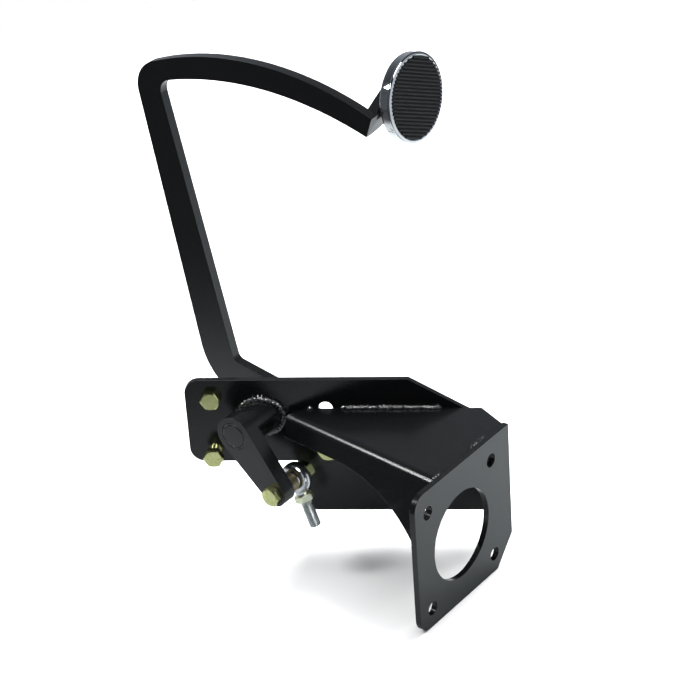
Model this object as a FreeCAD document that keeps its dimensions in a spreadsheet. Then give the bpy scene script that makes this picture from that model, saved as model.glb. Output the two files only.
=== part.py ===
import FreeCAD, Part
import math
import os
import Sketcher

os.makedirs("parts", exist_ok=True)
doc = FreeCAD.newDocument("brake_pedal")
sheet = doc.addObject("Spreadsheet::Sheet", "Sizes")


class Size:
    """A number together with the sheet formula that gives it."""

    def __init__(self, value, text):
        self.value = float(value)
        self.text = text

    def __add__(self, other):
        other = as_size(other)
        return Size(self.value + other.value, "(%s + %s)" % (self.text, other.text))

    def __radd__(self, other):
        return as_size(other) + self

    def __sub__(self, other):
        other = as_size(other)
        return Size(self.value - other.value, "(%s - %s)" % (self.text, other.text))

    def __rsub__(self, other):
        return as_size(other) - self

    def __mul__(self, other):
        other = as_size(other)
        return Size(self.value * other.value, "(%s * %s)" % (self.text, other.text))

    def __rmul__(self, other):
        return as_size(other) * self

    def __truediv__(self, other):
        other = as_size(other)
        return Size(self.value / other.value, "(%s / %s)" % (self.text, other.text))

    def __neg__(self):
        return Size(-self.value, "(0 - %s)" % self.text)


def as_size(number):
    return number if isinstance(number, Size) else Size(number, "(%r)" % float(number))


def trig(kind, angle):
    """Sine, cosine or tangent of an angle in degrees."""
    value = getattr(math, kind)(math.radians(angle.value))
    return Size(value, "%s(%s * 1 deg)" % (kind, angle.text))


def touch(x, y, radius, side):
    """Where a line from a point touches a circle round the origin, on its left (1) or right (-1)."""
    away = Size(math.hypot(x.value, y.value), "hypot(%s; %s)" % (x.text, y.text))
    share = radius / away
    turn = math.atan2(y.value, x.value) + side * math.acos(share.value)
    text = "atan2(%s; %s) + %d * acos(%s)" % (y.text, x.text, side, share.text)
    return radius * Size(math.cos(turn), "cos(%s)" % text), radius * Size(math.sin(turn), "sin(%s)" % text)


def table(entries):
    """Writes the driving sizes to the sheet and returns them by name."""
    sizes = {}
    for row, (alias, value) in enumerate(entries.items(), start=1):
        sheet.set("A%d" % row, str(value))
        sheet.setAlias("A%d" % row, alias)
        sizes[alias] = Size(value, "Sizes." + alias)
    doc.recompute()
    return sizes


SIZES = {
    # Bracket plates
    "plate_thickness": 4.76,
    "booster_near_side": 59.5,
    "booster_far_side": 68.5,
    "booster_top": 62.3,
    "booster_bottom": 58.7,
    "booster_hole_spacing": 85.7,
    "booster_hole_diameter": 11.1,
    "booster_bore_diameter": 73.6,
    "booster_corner_radius": 12.7,
    "booster_corner_cut": 22.0,
    "frame_yaw": 30.4,
    "frame_left_end": 60.3,
    "frame_right_end": 185.0,
    "frame_top": 31.8,
    "frame_left_bottom": 42.0,
    "frame_right_bottom": 88.2,
    "frame_step": 25.0,
    "frame_corner_radius": 12.0,
    "frame_slope_start": 116.3,
    "frame_slope_drop": 41.8,
    "frame_hole_diameter": 11.1,
    "frame_bolt_left": 39.5,
    "frame_bolt_right": 50.4,
    "frame_bolt_upper": 15.5,
    "frame_bolt_lower": 31.0,
    "frame_spare_hole_height": 6.3,
    # Bent gusset under the shelf
    "bend_start_ahead": 21.7,
    "bend_start_side": 4.4,
    "bend_yaw": 8.45,
    "bend_radius": 3.0,
    "flange_tilt": 22.0,
    "flange_narrow": 18.8,
    "flange_curve_start": 57.3,
    "flange_wide": 59.2,
    "shelf_tip_back": 31.0,
    "shelf_start_ahead": 30.0,
    "shelf_inset": 1.5,
    # Pivot
    "pivot_back": 180.0,
    "pivot_height": 56.0,
    "pivot_crossing": 8.4,
    "tube_diameter": 28.6,
    "tube_bore": 22.2,
    "tube_front_length": 23.4,
    "tube_rear_length": 21.0,
    "bush_length": 19.0,
    "shaft_diameter": 19.05,
    "shaft_clearance": 0.06,
    "shaft_proud": 1.5,
    "side_gap": 0.5,
    # Pushrod lever and rod end
    "lever_thickness": 12.7,
    "lever_hub_radius": 16.0,
    "lever_end_radius": 10.5,
    "lever_forward": 35.4,
    "lever_drop": 42.2,
    "lever_ring_diameter": 22.6,
    "lever_ring_depth": 1.2,
    "spacer_length": 10.0,
    "spacer_diameter": 15.9,
    "ball_diameter": 17.5,
    "ball_width": 12.7,
    "ball_clearance": 0.05,
    "rod_ring_diameter": 25.4,
    "rod_ring_width": 10.3,
    "rod_neck_diameter": 13.0,
    "rod_length": 42.5,
    "rod_hang": 21.4,
    "jam_nut_start": 14.4,
    "jam_nut_height": 5.6,
    # Bolts
    "bolt_diameter": 9.53,
    "hex_across": 14.3,
    "head_height": 6.2,
    "nut_height": 8.3,
    "frame_bolt_length": 25.4,
    "lower_bolt_stand": 9.5,
    "bolt_clearance": 0.15,
    "thread_proud": 2.1,
    # Pedal arm, measured from the pivot
    "arm_thickness": 7.94,
    "arm_hub_radius": 17.0,
    "heel_back": 68.1,
    "heel_drop": 2.8,
    "heel_radius": 55.0,
    "foot_width": 26.1,
    "foot_corner_rise": 29.4,
    "foot_corner_radius": 6.0,
    "crown_back": 116.1,
    "crown_height": 265.0,
    "crown_radius": 25.0,
    "inner_crown_inset": 24.2,
    "inner_crown_under": 7.3,
    "inner_crown_radius": 11.0,
    "arch_radius": 275.0,
    "inner_arch_radius": 300.0,
    "bar_end_front": 108.6,
    "bar_end_height": 269.2,
    "bar_end_lean": 5.5,
    "bar_end_depth": 15.8,
    # Pad, measured from the end of the arm's bar
    "pad_ahead": 13.25,
    "pad_above": 4.2,
    "pad_side": 52.5,
    "pad_tilt": 6.5,
    "pad_diameter": 67.4,
    "pad_depth": 11.0,
    "pad_rim_width": 3.0,
    "pad_rim_chamfer": 1.0,
    "pad_back_chamfer": 3.0,
    "pad_recess": 5.0,
    "pad_boss_diameter": 20.0,
    "pad_boss_length": 4.5,
    "rubber_stand": 0.8,
    "rib_pitch": 2.66,
    "rib_groove": 1.2,
    "rib_depth": 1.3,
    "rib_turn": 23.0,
    "lug_thickness": 9.53,
    "lug_radius": 11.0,
    "lug_root_top": 2.0,
    "lug_root_height": 15.6,
}
S = table(SIZES)
HEX_CHAMFER_START = 0.97
CUT_ALLOWANCE = 12

doc_nodes = []


def bind(thing, prop, amount):
    """Ties a property to its sheet formula."""
    amount = as_size(amount)
    thing.setExpression(prop, amount.text)


def place(thing, base, turn=None, prop="Placement"):
    """Places a thing from three sheet formulas and an optional rotation formula."""
    spot = "; ".join(as_size(b).text for b in base)
    turn = turn or "rotationz(0 deg)"
    thing.setExpression(prop, "placement(vector(%s); %s)" % (spot, turn))


def turned(axis, angle):
    return "rotation%s(%s * 1 deg)" % (axis, as_size(angle).text)


def body(name):
    made = doc.addObject("PartDesign::Body", name)
    made.Label = name
    return made


def sketch_on(owner, name, role, depth=None):
    """Sketch on an origin plane of its body, moved along the plane's normal by depth."""
    made = owner.newObject("Sketcher::SketchObject", name)
    plane = [f for f in owner.Origin.OriginFeatures if f.Role == role][0]
    made.AttachmentSupport = [(plane, "")]
    made.MapMode = "FlatFace"
    if depth is not None:
        place(made, (0, 0, depth), prop="AttachmentOffset")
    return made


def fix_point(sk, geo, end, x, y):
    """Locates a sketch point from the sketch origin."""
    for kind, amount in (("DistanceX", x), ("DistanceY", y)):
        amount = as_size(amount)
        index = sk.addConstraint(Sketcher.Constraint(kind, -1, 1, geo, end, amount.value))
        sk.setExpression("Constraints[%d]" % index, amount.text)


def fix_radius(sk, geo, radius):
    index = sk.addConstraint(Sketcher.Constraint("Radius", geo, radius.value))
    sk.setExpression("Constraints[%d]" % index, radius.text)


def arc_between(start, end, radius, left):
    """Arc from start to end whose centre lies left or right of the way from start to end."""
    chord = end - start
    half = chord.Length / 2
    rise = math.sqrt(max(radius * radius - half * half, 0.0))
    side = FreeCAD.Vector(-chord.y, chord.x, 0).normalize()
    centre = (start + end) * 0.5 + side * (rise if left else -rise)
    first, last = (start, end) if left else (end, start)
    angle_a = math.atan2(first.y - centre.y, first.x - centre.x)
    angle_b = math.atan2(last.y - centre.y, last.x - centre.x)
    circle = Part.Circle(centre, FreeCAD.Vector(0, 0, 1), radius)
    return Part.ArcOfCircle(circle, angle_a, angle_b)


def outline(sk, corners):
    """Closed outline. A corner is x, y and, where the next edge is round, its radius and side."""
    points = [FreeCAD.Vector(as_size(c[0]).value, as_size(c[1]).value, 0) for c in corners]
    ends = []
    for i, corner in enumerate(corners):
        start = points[i]
        end = points[(i + 1) % len(points)]
        if len(corner) == 2:
            geo = sk.addGeometry(Part.LineSegment(start, end), False)
            ends.append((geo, 1, 2))
        else:
            left = corner[3] == "left"
            geo = sk.addGeometry(arc_between(start, end, corner[2].value, left), False)
            ends.append((geo, 1, 2) if left else (geo, 2, 1))
    for i, (geo, first, last) in enumerate(ends):
        following = ends[(i + 1) % len(ends)]
        sk.addConstraint(Sketcher.Constraint("Coincident", geo, last, following[0], following[1]))
    for (geo, first, last), corner in zip(ends, corners):
        fix_point(sk, geo, first, corner[0], corner[1])
        if len(corner) > 2:
            fix_radius(sk, geo, corner[2])


def round_hole(sk, x, y, diameter):
    centre = FreeCAD.Vector(as_size(x).value, as_size(y).value, 0)
    radius = as_size(diameter) / 2
    geo = sk.addGeometry(Part.Circle(centre, FreeCAD.Vector(0, 0, 1), radius.value), False)
    fix_point(sk, geo, 3, x, y)
    fix_radius(sk, geo, radius)


def pad(owner, sk, name, length, reverse=False):
    made = owner.newObject("PartDesign::Pad", name)
    made.Profile = sk
    made.Reversed = reverse
    bind(made, "Length", length)
    doc.recompute()
    return made


def pocket(owner, sk, name, depth):
    before = owner.Shape.Volume
    made = owner.newObject("PartDesign::Pocket", name)
    made.Profile = sk
    bind(made, "Length", depth)
    doc.recompute()
    if owner.Shape.Volume >= before:
        raise RuntimeError(name + " removes nothing")
    return made


def round_edges(owner, feature, name, spots, radius):
    """Rounds the edges whose middles lie nearest to the given spots of the feature."""
    names = []
    for spot in spots:
        spot = FreeCAD.Vector(*[as_size(c).value for c in spot])
        near = min(
            range(len(feature.Shape.Edges)),
            key=lambda i: feature.Shape.Edges[i].distToShape(Part.Vertex(spot))[0]
            + 0.01 * (feature.Shape.Edges[i].CenterOfMass - spot).Length,
        )
        names.append("Edge%d" % (near + 1))
    made = owner.newObject("PartDesign::Fillet", name)
    made.Base = (feature, names)
    bind(made, "Radius", radius)
    doc.recompute()
    return made


def keep(thing, name):
    thing.Label = name
    doc_nodes.append(thing)
    return thing


def primitive(kind, name, **sizes):
    made = doc.addObject("Part::" + kind, name)
    for prop, amount in sizes.items():
        bind(made, prop, amount)
    return made


def joined(kind, name, base, tool):
    made = doc.addObject("Part::" + kind, name)
    made.Base = base
    made.Tool = tool
    return made


def hexagon(name, across, height):
    """Six-sided prism along Z whose far corners are chamfered."""
    corner = across / Size(math.sqrt(3.0), "sqrt(3)")
    prism = primitive("Prism", name + "_prism", Circumradius=corner, Height=height)
    prism.Polygon = 6
    small = across / 2 * HEX_CHAMFER_START
    trim = primitive("Cone", name + "_trim", Radius1=small, Radius2=small + height, Height=height)
    return joined("Common", name + "_hexagon", prism, trim)


def bolt(name, length, base, turn):
    """Hexagon bolt along Z with the underside of its head at the origin."""
    head = hexagon(name, S["hex_across"], S["head_height"])
    place(head, (0, 0, -S["head_height"]))
    shank = primitive("Cylinder", name + "_shank", Radius=S["bolt_diameter"] / 2, Height=length)
    made = joined("Fuse", name, head, shank)
    place(made, base, turn)
    return keep(made, name)


def nut(name, height, base, turn):
    """Hexagon nut along Z that starts at the origin."""
    block = hexagon(name, S["hex_across"], height)
    bore = primitive("Cylinder", name + "_bore", Radius=S["bolt_diameter"] / 2, Height=height)
    made = joined("Cut", name, block, bore)
    place(made, base, turn)
    return keep(made, name)


def ring(name, outer, inner, length, base, turn=None):
    """Plain ring along Y that starts at the origin."""
    owner = body(name)
    sk = sketch_on(owner, name + "_sketch", "XZ_Plane")
    round_hole(sk, 0, 0, outer)
    round_hole(sk, 0, 0, inner)
    pad(owner, sk, name + "_pad", length, reverse=True)
    place(owner, base, turn)
    return keep(owner, name)


T = S["plate_thickness"]
PIVOT_X = -S["pivot_back"]
PIVOT_Z = S["pivot_height"]
CROSS_Y = -S["pivot_crossing"]
YAW = S["frame_yaw"]


def frame_face(x):
    """Side position of the frame plate's front face at a length position."""
    return CROSS_Y + (x - PIVOT_X) * trig("tan", YAW)


def booster_plate():
    owner = body("booster_plate")
    sk = sketch_on(owner, "booster_sketch", "YZ_Plane", -T)
    near = -S["booster_near_side"]
    far = S["booster_far_side"]
    top = S["booster_top"]
    low = -S["booster_bottom"]
    r = S["booster_corner_radius"]
    cut = S["booster_corner_cut"]
    outline(sk, [
        (near, low + r, r, "left"),
        (near + r, low),
        (far - cut, low),
        (far, low + cut),
        (far, top),
        (near + r, top, r, "left"),
        (near, top - r),
    ])
    half = S["booster_hole_spacing"] / 2
    for y in (-half, half):
        for z in (-half, half):
            round_hole(sk, y, z, S["booster_hole_diameter"])
    round_hole(sk, 0, 0, S["booster_bore_diameter"])
    pad(owner, sk, "booster_pad", T)
    return keep(owner, "booster_plate")


def frame_plate():
    owner = body("frame_blank")
    sk = sketch_on(owner, "frame_sketch", "XZ_Plane")
    left = -S["frame_left_end"]
    right = S["frame_right_end"]
    top = S["frame_top"]
    low = -S["frame_left_bottom"]
    deep = -S["frame_right_bottom"]
    step = S["frame_step"]
    r = S["frame_corner_radius"]
    slope = S["frame_slope_start"]
    drop = S["frame_slope_drop"]
    outline(sk, [
        (left, low + r, r, "left"),
        (left + r, low),
        (step, low),
        (step, deep + r, r, "left"),
        (step + r, deep),
        (right, deep),
        (right, top - drop),
        (slope, top),
        (left + r, top, r, "left"),
        (left, top - r),
    ])
    for u, z in bolt_spots():
        round_hole(sk, u, z, S["frame_hole_diameter"])
    round_hole(sk, S["frame_bolt_right"], S["frame_spare_hole_height"], S["frame_hole_diameter"])
    pad(owner, sk, "frame_pad", T, reverse=True)
    place(owner, (PIVOT_X, CROSS_Y, PIVOT_Z), turned("z", YAW))
    reach = S["tube_front_length"] + S["tube_rear_length"]
    hole = primitive("Cylinder", "frame_tube_hole", Radius=S["tube_diameter"] / 2, Height=reach)
    place(hole, (PIVOT_X, CROSS_Y - S["tube_front_length"], PIVOT_Z), turned("x", -90))
    return keep(joined("Cut", "frame_plate", owner, hole), "frame_plate")


def bolt_spots():
    """Bolt positions along and above the pivot on the frame plate."""
    return [
        (-S["frame_bolt_left"], S["frame_bolt_upper"]),
        (-S["frame_bolt_left"], -S["frame_bolt_lower"]),
        (S["frame_bolt_right"], -S["frame_bolt_lower"]),
    ]


def shelf_gusset():
    top = S["booster_top"]
    start_x = PIVOT_X + S["bend_start_ahead"]
    start_y = -S["bend_start_side"]
    turn = S["bend_yaw"]
    tilt = S["flange_tilt"]
    lean_y = -trig("sin", tilt)
    lean_z = -trig("cos", tilt)
    steep = trig("tan", (tilt + 90) / 2)
    inside = S["bend_radius"]
    outer_run = (inside + T) / steep
    inner_run = inside / steep
    corner = T / steep
    shelf = S["booster_near_side"] + S["booster_far_side"]
    flange = S["flange_wide"] + CUT_ALLOWANCE

    # Bent strip: the section is drawn across the bend line and the strip runs along it.
    blank = body("gusset_blank")
    sk = sketch_on(blank, "gusset_section", "YZ_Plane", -CUT_ALLOWANCE)
    outline(sk, [
        (shelf, 0),
        (outer_run, 0, inside + T, "left"),
        (outer_run * lean_y, outer_run * lean_z),
        (flange * lean_y, flange * lean_z),
        (flange * lean_y - T * lean_z, flange * lean_z + T * lean_y),
        (corner + inner_run * lean_y, inner_run * lean_z - T, inside, "right"),
        (corner + inner_run, -T),
        (shelf, -T),
    ])
    reach = (-T - start_x) / trig("cos", turn)
    pad(blank, sk, "gusset_strip", reach + CUT_ALLOWANCE * 2)

    # The flange's free edge is straight at the tube and sweeps down to the booster plate in one hollow arc.
    under = sketch_on(blank, "flange_edge_sketch", "XZ_Plane", flange)
    narrow = S["flange_narrow"] * lean_z
    wide = S["flange_wide"] * lean_z
    run = reach - S["flange_curve_start"]
    drop = narrow - wide
    sweep = (run * run + drop * drop) / (drop * 2)
    below = (flange + T + CUT_ALLOWANCE) * lean_z
    behind = as_size(-CUT_ALLOWANCE * 2)
    beyond = reach + CUT_ALLOWANCE * 2
    outline(under, [
        (behind, narrow),
        (behind, below),
        (beyond, below),
        (beyond, wide),
        (reach, wide, sweep, "left"),
        (S["flange_curve_start"], narrow),
    ])
    pocket(blank, under, "flange_edge", flange * 2)
    place(blank, (start_x, start_y, top), turned("z", -turn))

    # Plan trim: the free end, the back face of the booster plate and the frame plate's face.
    plan = body("gusset_plan")
    tip_x = -S["shelf_tip_back"]
    back_x = PIVOT_X + S["shelf_start_ahead"]
    sk = sketch_on(plan, "gusset_plan_sketch", "XY_Plane", -S["booster_bottom"])
    outline(sk, [
        (start_x, start_y - flange),
        (-T, start_y - flange),
        (-T, S["booster_far_side"] - S["shelf_inset"]),
        (tip_x, frame_face(tip_x)),
        (back_x, frame_face(back_x)),
        (start_x, start_y),
    ])
    pad(plan, sk, "gusset_plan_pad", S["booster_bottom"] + top + CUT_ALLOWANCE)
    return keep(joined("Common", "shelf_gusset", blank, plan), "shelf_gusset")


def pivot_pieces():
    front = CROSS_Y - S["tube_front_length"]
    reach = S["tube_front_length"] + S["tube_rear_length"]
    ring("pivot_tube", S["tube_diameter"], S["tube_bore"], reach, (PIVOT_X, front, PIVOT_Z))
    inner = S["shaft_diameter"] + S["shaft_clearance"] * 2
    length = S["bush_length"]
    ring("front_bush", S["tube_bore"], inner, length, (PIVOT_X, front, PIVOT_Z))
    ring("rear_bush", S["tube_bore"], inner, length, (PIVOT_X, front + reach - length, PIVOT_Z))
    nose = lever_front()
    length = arm_front() + S["arm_thickness"] + S["shaft_proud"] - nose
    shaft = primitive("Cylinder", "pivot_shaft", Radius=S["shaft_diameter"] / 2, Height=length)
    place(shaft, (PIVOT_X, nose, PIVOT_Z), turned("x", -90))
    keep(shaft, "pivot_shaft")


def lever_back():
    return CROSS_Y - S["tube_front_length"] - S["side_gap"]


def lever_front():
    return lever_back() - S["lever_thickness"]


def arm_front():
    return CROSS_Y + S["tube_rear_length"] + S["side_gap"]


def pushrod_lever():
    owner = body("pushrod_lever")
    sk = sketch_on(owner, "lever_sketch", "XZ_Plane")
    hub = S["lever_hub_radius"]
    tip = S["lever_end_radius"]
    x = S["lever_forward"]
    z = -S["lever_drop"]
    away = math.hypot(x.value, z.value)
    heading = math.atan2(z.value, x.value)
    spread = math.acos((hub.value - tip.value) / away)
    centre = FreeCAD.Vector(0, 0, 0)
    far = FreeCAD.Vector(x.value, z.value, 0)
    up = FreeCAD.Vector(0, 0, 1)
    upper = heading + spread
    lower = heading - spread
    hub_circle = Part.Circle(centre, up, hub.value)
    tip_circle = Part.Circle(far, up, tip.value)
    hub_arc = sk.addGeometry(Part.ArcOfCircle(hub_circle, upper, lower + 2 * math.pi), False)
    tip_arc = sk.addGeometry(Part.ArcOfCircle(tip_circle, lower, upper), False)
    top_line = sk.addGeometry(Part.LineSegment(tip_circle.value(upper), hub_circle.value(upper)), False)
    low_line = sk.addGeometry(Part.LineSegment(hub_circle.value(lower), tip_circle.value(lower)), False)
    way_round = (tip_arc, top_line, hub_arc, low_line, tip_arc)
    for one, two in zip(way_round, way_round[1:]):
        sk.addConstraint(Sketcher.Constraint("Tangent", one, 2, two, 1))
    sk.addConstraint(Sketcher.Constraint("Coincident", hub_arc, 3, -1, 1))
    fix_radius(sk, hub_arc, hub)
    fix_radius(sk, tip_arc, tip)
    fix_point(sk, tip_arc, 3, x, z)
    round_hole(sk, 0, 0, S["shaft_diameter"])
    round_hole(sk, x, z, bolt_hole())
    pad(owner, sk, "lever_pad", S["lever_thickness"], reverse=True)
    seat = sketch_on(owner, "lever_ring_sketch", "XZ_Plane")
    round_hole(seat, 0, 0, S["lever_ring_diameter"])
    pocket(owner, seat, "lever_ring", S["lever_ring_depth"])
    place(owner, (PIVOT_X, lever_front(), PIVOT_Z))
    return keep(owner, "pushrod_lever")


def bolt_hole():
    return S["bolt_diameter"] + S["bolt_clearance"] * 2


def lever_axis(y):
    return (PIVOT_X + S["lever_forward"], y, PIVOT_Z - S["lever_drop"])


def rod_centre():
    return lever_back() + S["spacer_length"] + S["ball_width"] / 2


def linkage():
    along = turned("x", -90)
    seat = rod_centre() + S["ball_width"] / 2
    length = seat + S["nut_height"] + S["thread_proud"] - lever_front()
    bolt("lever_bolt", length, lever_axis(lever_front()), along)
    ring("lever_spacer", S["spacer_diameter"], bolt_hole(), S["spacer_length"], lever_axis(lever_back()))
    nut("lever_nut", S["nut_height"], lever_axis(seat), along)

    ball = primitive("Sphere", "ball_round", Radius=S["ball_diameter"] / 2)
    slab = primitive("Cylinder", "ball_slab", Radius=S["ball_diameter"], Height=S["ball_width"])
    place(slab, (0, -S["ball_width"] / 2, 0), along)
    bore = primitive("Cylinder", "ball_bore", Radius=bolt_hole() / 2, Height=S["ball_width"])
    place(bore, (0, -S["ball_width"] / 2, 0), along)
    whole = joined("Common", "ball_faced", ball, slab)
    made = joined("Cut", "rod_ball", whole, bore)
    place(made, lever_axis(rod_centre()))
    keep(made, "rod_ball")

    eye = primitive("Cylinder", "rod_eye", Radius=S["rod_ring_diameter"] / 2, Height=S["rod_ring_width"])
    place(eye, (0, -S["rod_ring_width"] / 2, 0), along)
    thin = S["bolt_diameter"] / 2
    stem = primitive("Cylinder", "rod_stem", Radius=thin, Height=S["rod_length"])
    place(stem, (0, 0, -S["rod_length"]))
    thick = S["rod_neck_diameter"] / 2
    neck = primitive("Cone", "rod_neck", Radius1=thin, Radius2=thick, Height=S["jam_nut_start"])
    place(neck, (0, 0, -S["jam_nut_start"]))
    cup = primitive("Sphere", "rod_cup", Radius=S["ball_diameter"] / 2 + S["ball_clearance"])
    shank = joined("Fuse", "rod_shank", stem, neck)
    solid = joined("Fuse", "rod_solid", eye, shank)
    end = joined("Cut", "rod_end", solid, cup)
    hang = turned("y", -S["rod_hang"])
    place(end, lever_axis(rod_centre()), hang)
    keep(end, "rod_end")
    start = S["jam_nut_start"] + S["jam_nut_height"]
    base = lever_axis(rod_centre())
    x = base[0] + start * trig("sin", S["rod_hang"])
    z = base[2] - start * trig("cos", S["rod_hang"])
    nut("jam_nut", S["jam_nut_height"], (x, base[1], z), hang)


def frame_bolts():
    names = ("upper", "lower", "right")
    stands = (as_size(0), S["lower_bolt_stand"], as_size(0))
    turn = turned("z", YAW) + " * " + turned("x", -90)
    for name, stand, (u, z) in zip(names, stands, bolt_spots()):
        def spot(depth):
            """Position on the bolt's axis behind the plate's front face."""
            x = PIVOT_X + u * trig("cos", YAW) - depth * trig("sin", YAW)
            y = CROSS_Y + u * trig("sin", YAW) + depth * trig("cos", YAW)
            return (x, y, PIVOT_Z + z)
        bolt("frame_bolt_" + name, S["frame_bolt_length"], spot(-stand), turn)
        nut("frame_nut_" + name, S["nut_height"], spot(T), turn)


def pedal_arm():
    owner = body("pedal_arm")
    sk = sketch_on(owner, "arm_sketch", "XZ_Plane")
    hub = S["arm_hub_radius"]
    heel = (-S["heel_back"], -S["heel_drop"])
    foot = (heel[0] + S["foot_width"], heel[1] + S["foot_corner_rise"])
    crown = (-S["crown_back"], S["crown_height"])
    inner_crown = (crown[0] + S["inner_crown_inset"], crown[1] - S["inner_crown_under"])
    end = (S["bar_end_front"], S["bar_end_height"])
    tip = (end[0] - S["bar_end_lean"], end[1] - S["bar_end_depth"])
    low_x, low_z = touch(heel[0], heel[1], hub, 1)
    top_x, top_z = touch(foot[0], foot[1], hub, -1)
    outline(sk, [
        (low_x, low_z, hub, "left"),
        (top_x, top_z),
        foot,
        inner_crown + (S["inner_arch_radius"], "right"),
        tip,
        end + (S["arch_radius"], "left"),
        crown,
        heel,
    ])
    round_hole(sk, 0, 0, S["shaft_diameter"])
    shape = pad(owner, sk, "arm_pad", S["arm_thickness"], reverse=True)
    middle = S["arm_thickness"] / 2
    corners = {"heel": heel, "foot_corner": foot, "crown": crown, "inner_crown": inner_crown}
    for name, (x, z) in corners.items():
        shape = round_edges(owner, shape, name, [(x, middle, z)], S[name + "_radius"])
    place(owner, (PIVOT_X, arm_front(), PIVOT_Z))
    return keep(owner, "pedal_arm")


def pad_spot(depth):
    """Point behind the pad's front rim on the pad's own axis."""
    x = PIVOT_X + S["bar_end_front"] + S["pad_ahead"] - depth * trig("cos", S["pad_tilt"])
    z = PIVOT_Z + S["bar_end_height"] + S["pad_above"] - depth * trig("sin", S["pad_tilt"])
    return (x, S["pad_side"], z)


def pad_pieces():
    lean = turned("y", -S["pad_tilt"])
    outer = S["pad_diameter"] / 2
    inner = outer - S["pad_rim_width"]
    depth = S["pad_depth"]
    recess = S["pad_recess"]
    boss = S["pad_boss_diameter"] / 2
    length = S["pad_boss_length"]
    front_chamfer = S["pad_rim_chamfer"]
    back_chamfer = S["pad_back_chamfer"]

    shell = body("pad_shell")
    sk = sketch_on(shell, "shell_sketch", "XZ_Plane")
    outline(sk, [
        (-depth - length, 0),
        (-recess, 0),
        (-recess, inner),
        (0, inner),
        (0, outer - front_chamfer),
        (-front_chamfer, outer),
        (back_chamfer - depth, outer),
        (-depth, outer - back_chamfer),
        (-depth, boss),
        (-depth - length, boss),
    ])
    spin = shell.newObject("PartDesign::Revolution", "shell_spin")
    spin.Profile = sk
    spin.ReferenceAxis = (sk, ["H_Axis"])
    spin.Angle = 360
    doc.recompute()
    place(shell, pad_spot(0), lean)
    keep(shell, "pad_shell")

    rubber = body("pad_rubber")
    disc = sketch_on(rubber, "rubber_sketch", "YZ_Plane", -recess)
    round_hole(disc, 0, 0, inner * 2)
    pad(rubber, disc, "rubber_pad", recess + S["rubber_stand"])
    cut = sketch_on(rubber, "groove_sketch", "YZ_Plane", S["rubber_stand"])
    grooves = int(inner.value * 2 / S["rib_pitch"].value) - 1
    low = S["rib_pitch"] * (-(grooves - 1) / 2)
    half = S["rib_groove"] / 2
    outline(cut, [
        (-outer, low - half),
        (outer, low - half),
        (outer, low + half),
        (-outer, low + half),
    ])
    groove = pocket(rubber, cut, "groove", S["rib_depth"])
    rows = rubber.newObject("PartDesign::LinearPattern", "grooves")
    rows.Originals = [groove]
    rows.Direction = (cut, ["V_Axis"])
    bind(rows, "Length", S["rib_pitch"] * (grooves - 1))
    rows.Occurrences = grooves
    rubber.Tip = rows
    doc.recompute()
    place(rubber, pad_spot(0), lean + " * " + turned("x", -S["rib_turn"]))
    keep(rubber, "pad_rubber")

    face = depth + length
    lug = body("pad_lug")
    sk = sketch_on(lug, "lug_sketch", "YZ_Plane", -S["lug_thickness"])
    r = S["lug_radius"]
    root = arm_front() + S["arm_thickness"] - S["pad_side"]
    root_top = -S["lug_root_top"]
    root_low = root_top - S["lug_root_height"]
    low_y, low_z = touch(root, root_low, r, 1)
    top_y, top_z = touch(root, root_top, r, -1)
    outline(sk, [
        (root, root_low),
        (low_y, low_z, r, "left"),
        (top_y, top_z),
        (root, root_top),
    ])
    round_hole(sk, 0, 0, S["bolt_diameter"])
    pad(lug, sk, "lug_pad", S["lug_thickness"])
    # Below the boss the lug's front is cut to the slant of the bar's end, so the two are flush.
    cos = trig("cos", S["pad_tilt"])
    sin = trig("sin", S["pad_tilt"])
    end_x = face - S["pad_ahead"] * cos - S["pad_above"] * sin
    end_z = S["pad_ahead"] * sin - S["pad_above"] * cos
    slant_x = S["bar_end_lean"] * cos + S["bar_end_depth"] * sin
    slant_z = S["bar_end_depth"] * cos - S["bar_end_lean"] * sin
    slant = sketch_on(lug, "slant_sketch", "XZ_Plane", -root + CUT_ALLOWANCE)
    outline(slant, [
        (end_x - slant_x * 2, end_z - slant_z * 2),
        (end_x + slant_x, end_z - slant_z * 2),
        (end_x + slant_x, end_z + slant_z),
    ])
    pocket(lug, slant, "slant_cut", r - root + CUT_ALLOWANCE * 2)
    place(lug, pad_spot(face), lean)
    keep(lug, "pad_lug")

    through = S["lug_thickness"] + S["thread_proud"]
    stud = primitive("Cylinder", "pad_stud", Radius=S["bolt_diameter"] / 2, Height=through)
    place(stud, pad_spot(face), lean + " * " + turned("y", -90))
    keep(stud, "pad_stud")


booster_plate()
frame_plate()
shelf_gusset()
pivot_pieces()
pushrod_lever()
linkage()
frame_bolts()
pedal_arm()
pad_pieces()
doc.recompute()

for thing in doc.Objects:
    if "Invalid" in thing.State or "Error" in thing.State:
        raise RuntimeError("%s is %s" % (thing.Name, thing.State))
for node in doc_nodes:
    shape = node.Shape
    if shape.isNull() or not shape.isValid() or len(shape.Solids) != 1:
        raise RuntimeError("%s has no single valid solid" % node.Label)
    shape.exportStep("parts/%s.step" % node.Label)
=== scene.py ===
"""Brake pedal assembly: coated bracket, arm and lever, plated fasteners, chrome rod end and ribbed pad."""
import math

import bmesh
import bpy
from mathutils import Matrix, Vector, noise


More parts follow.
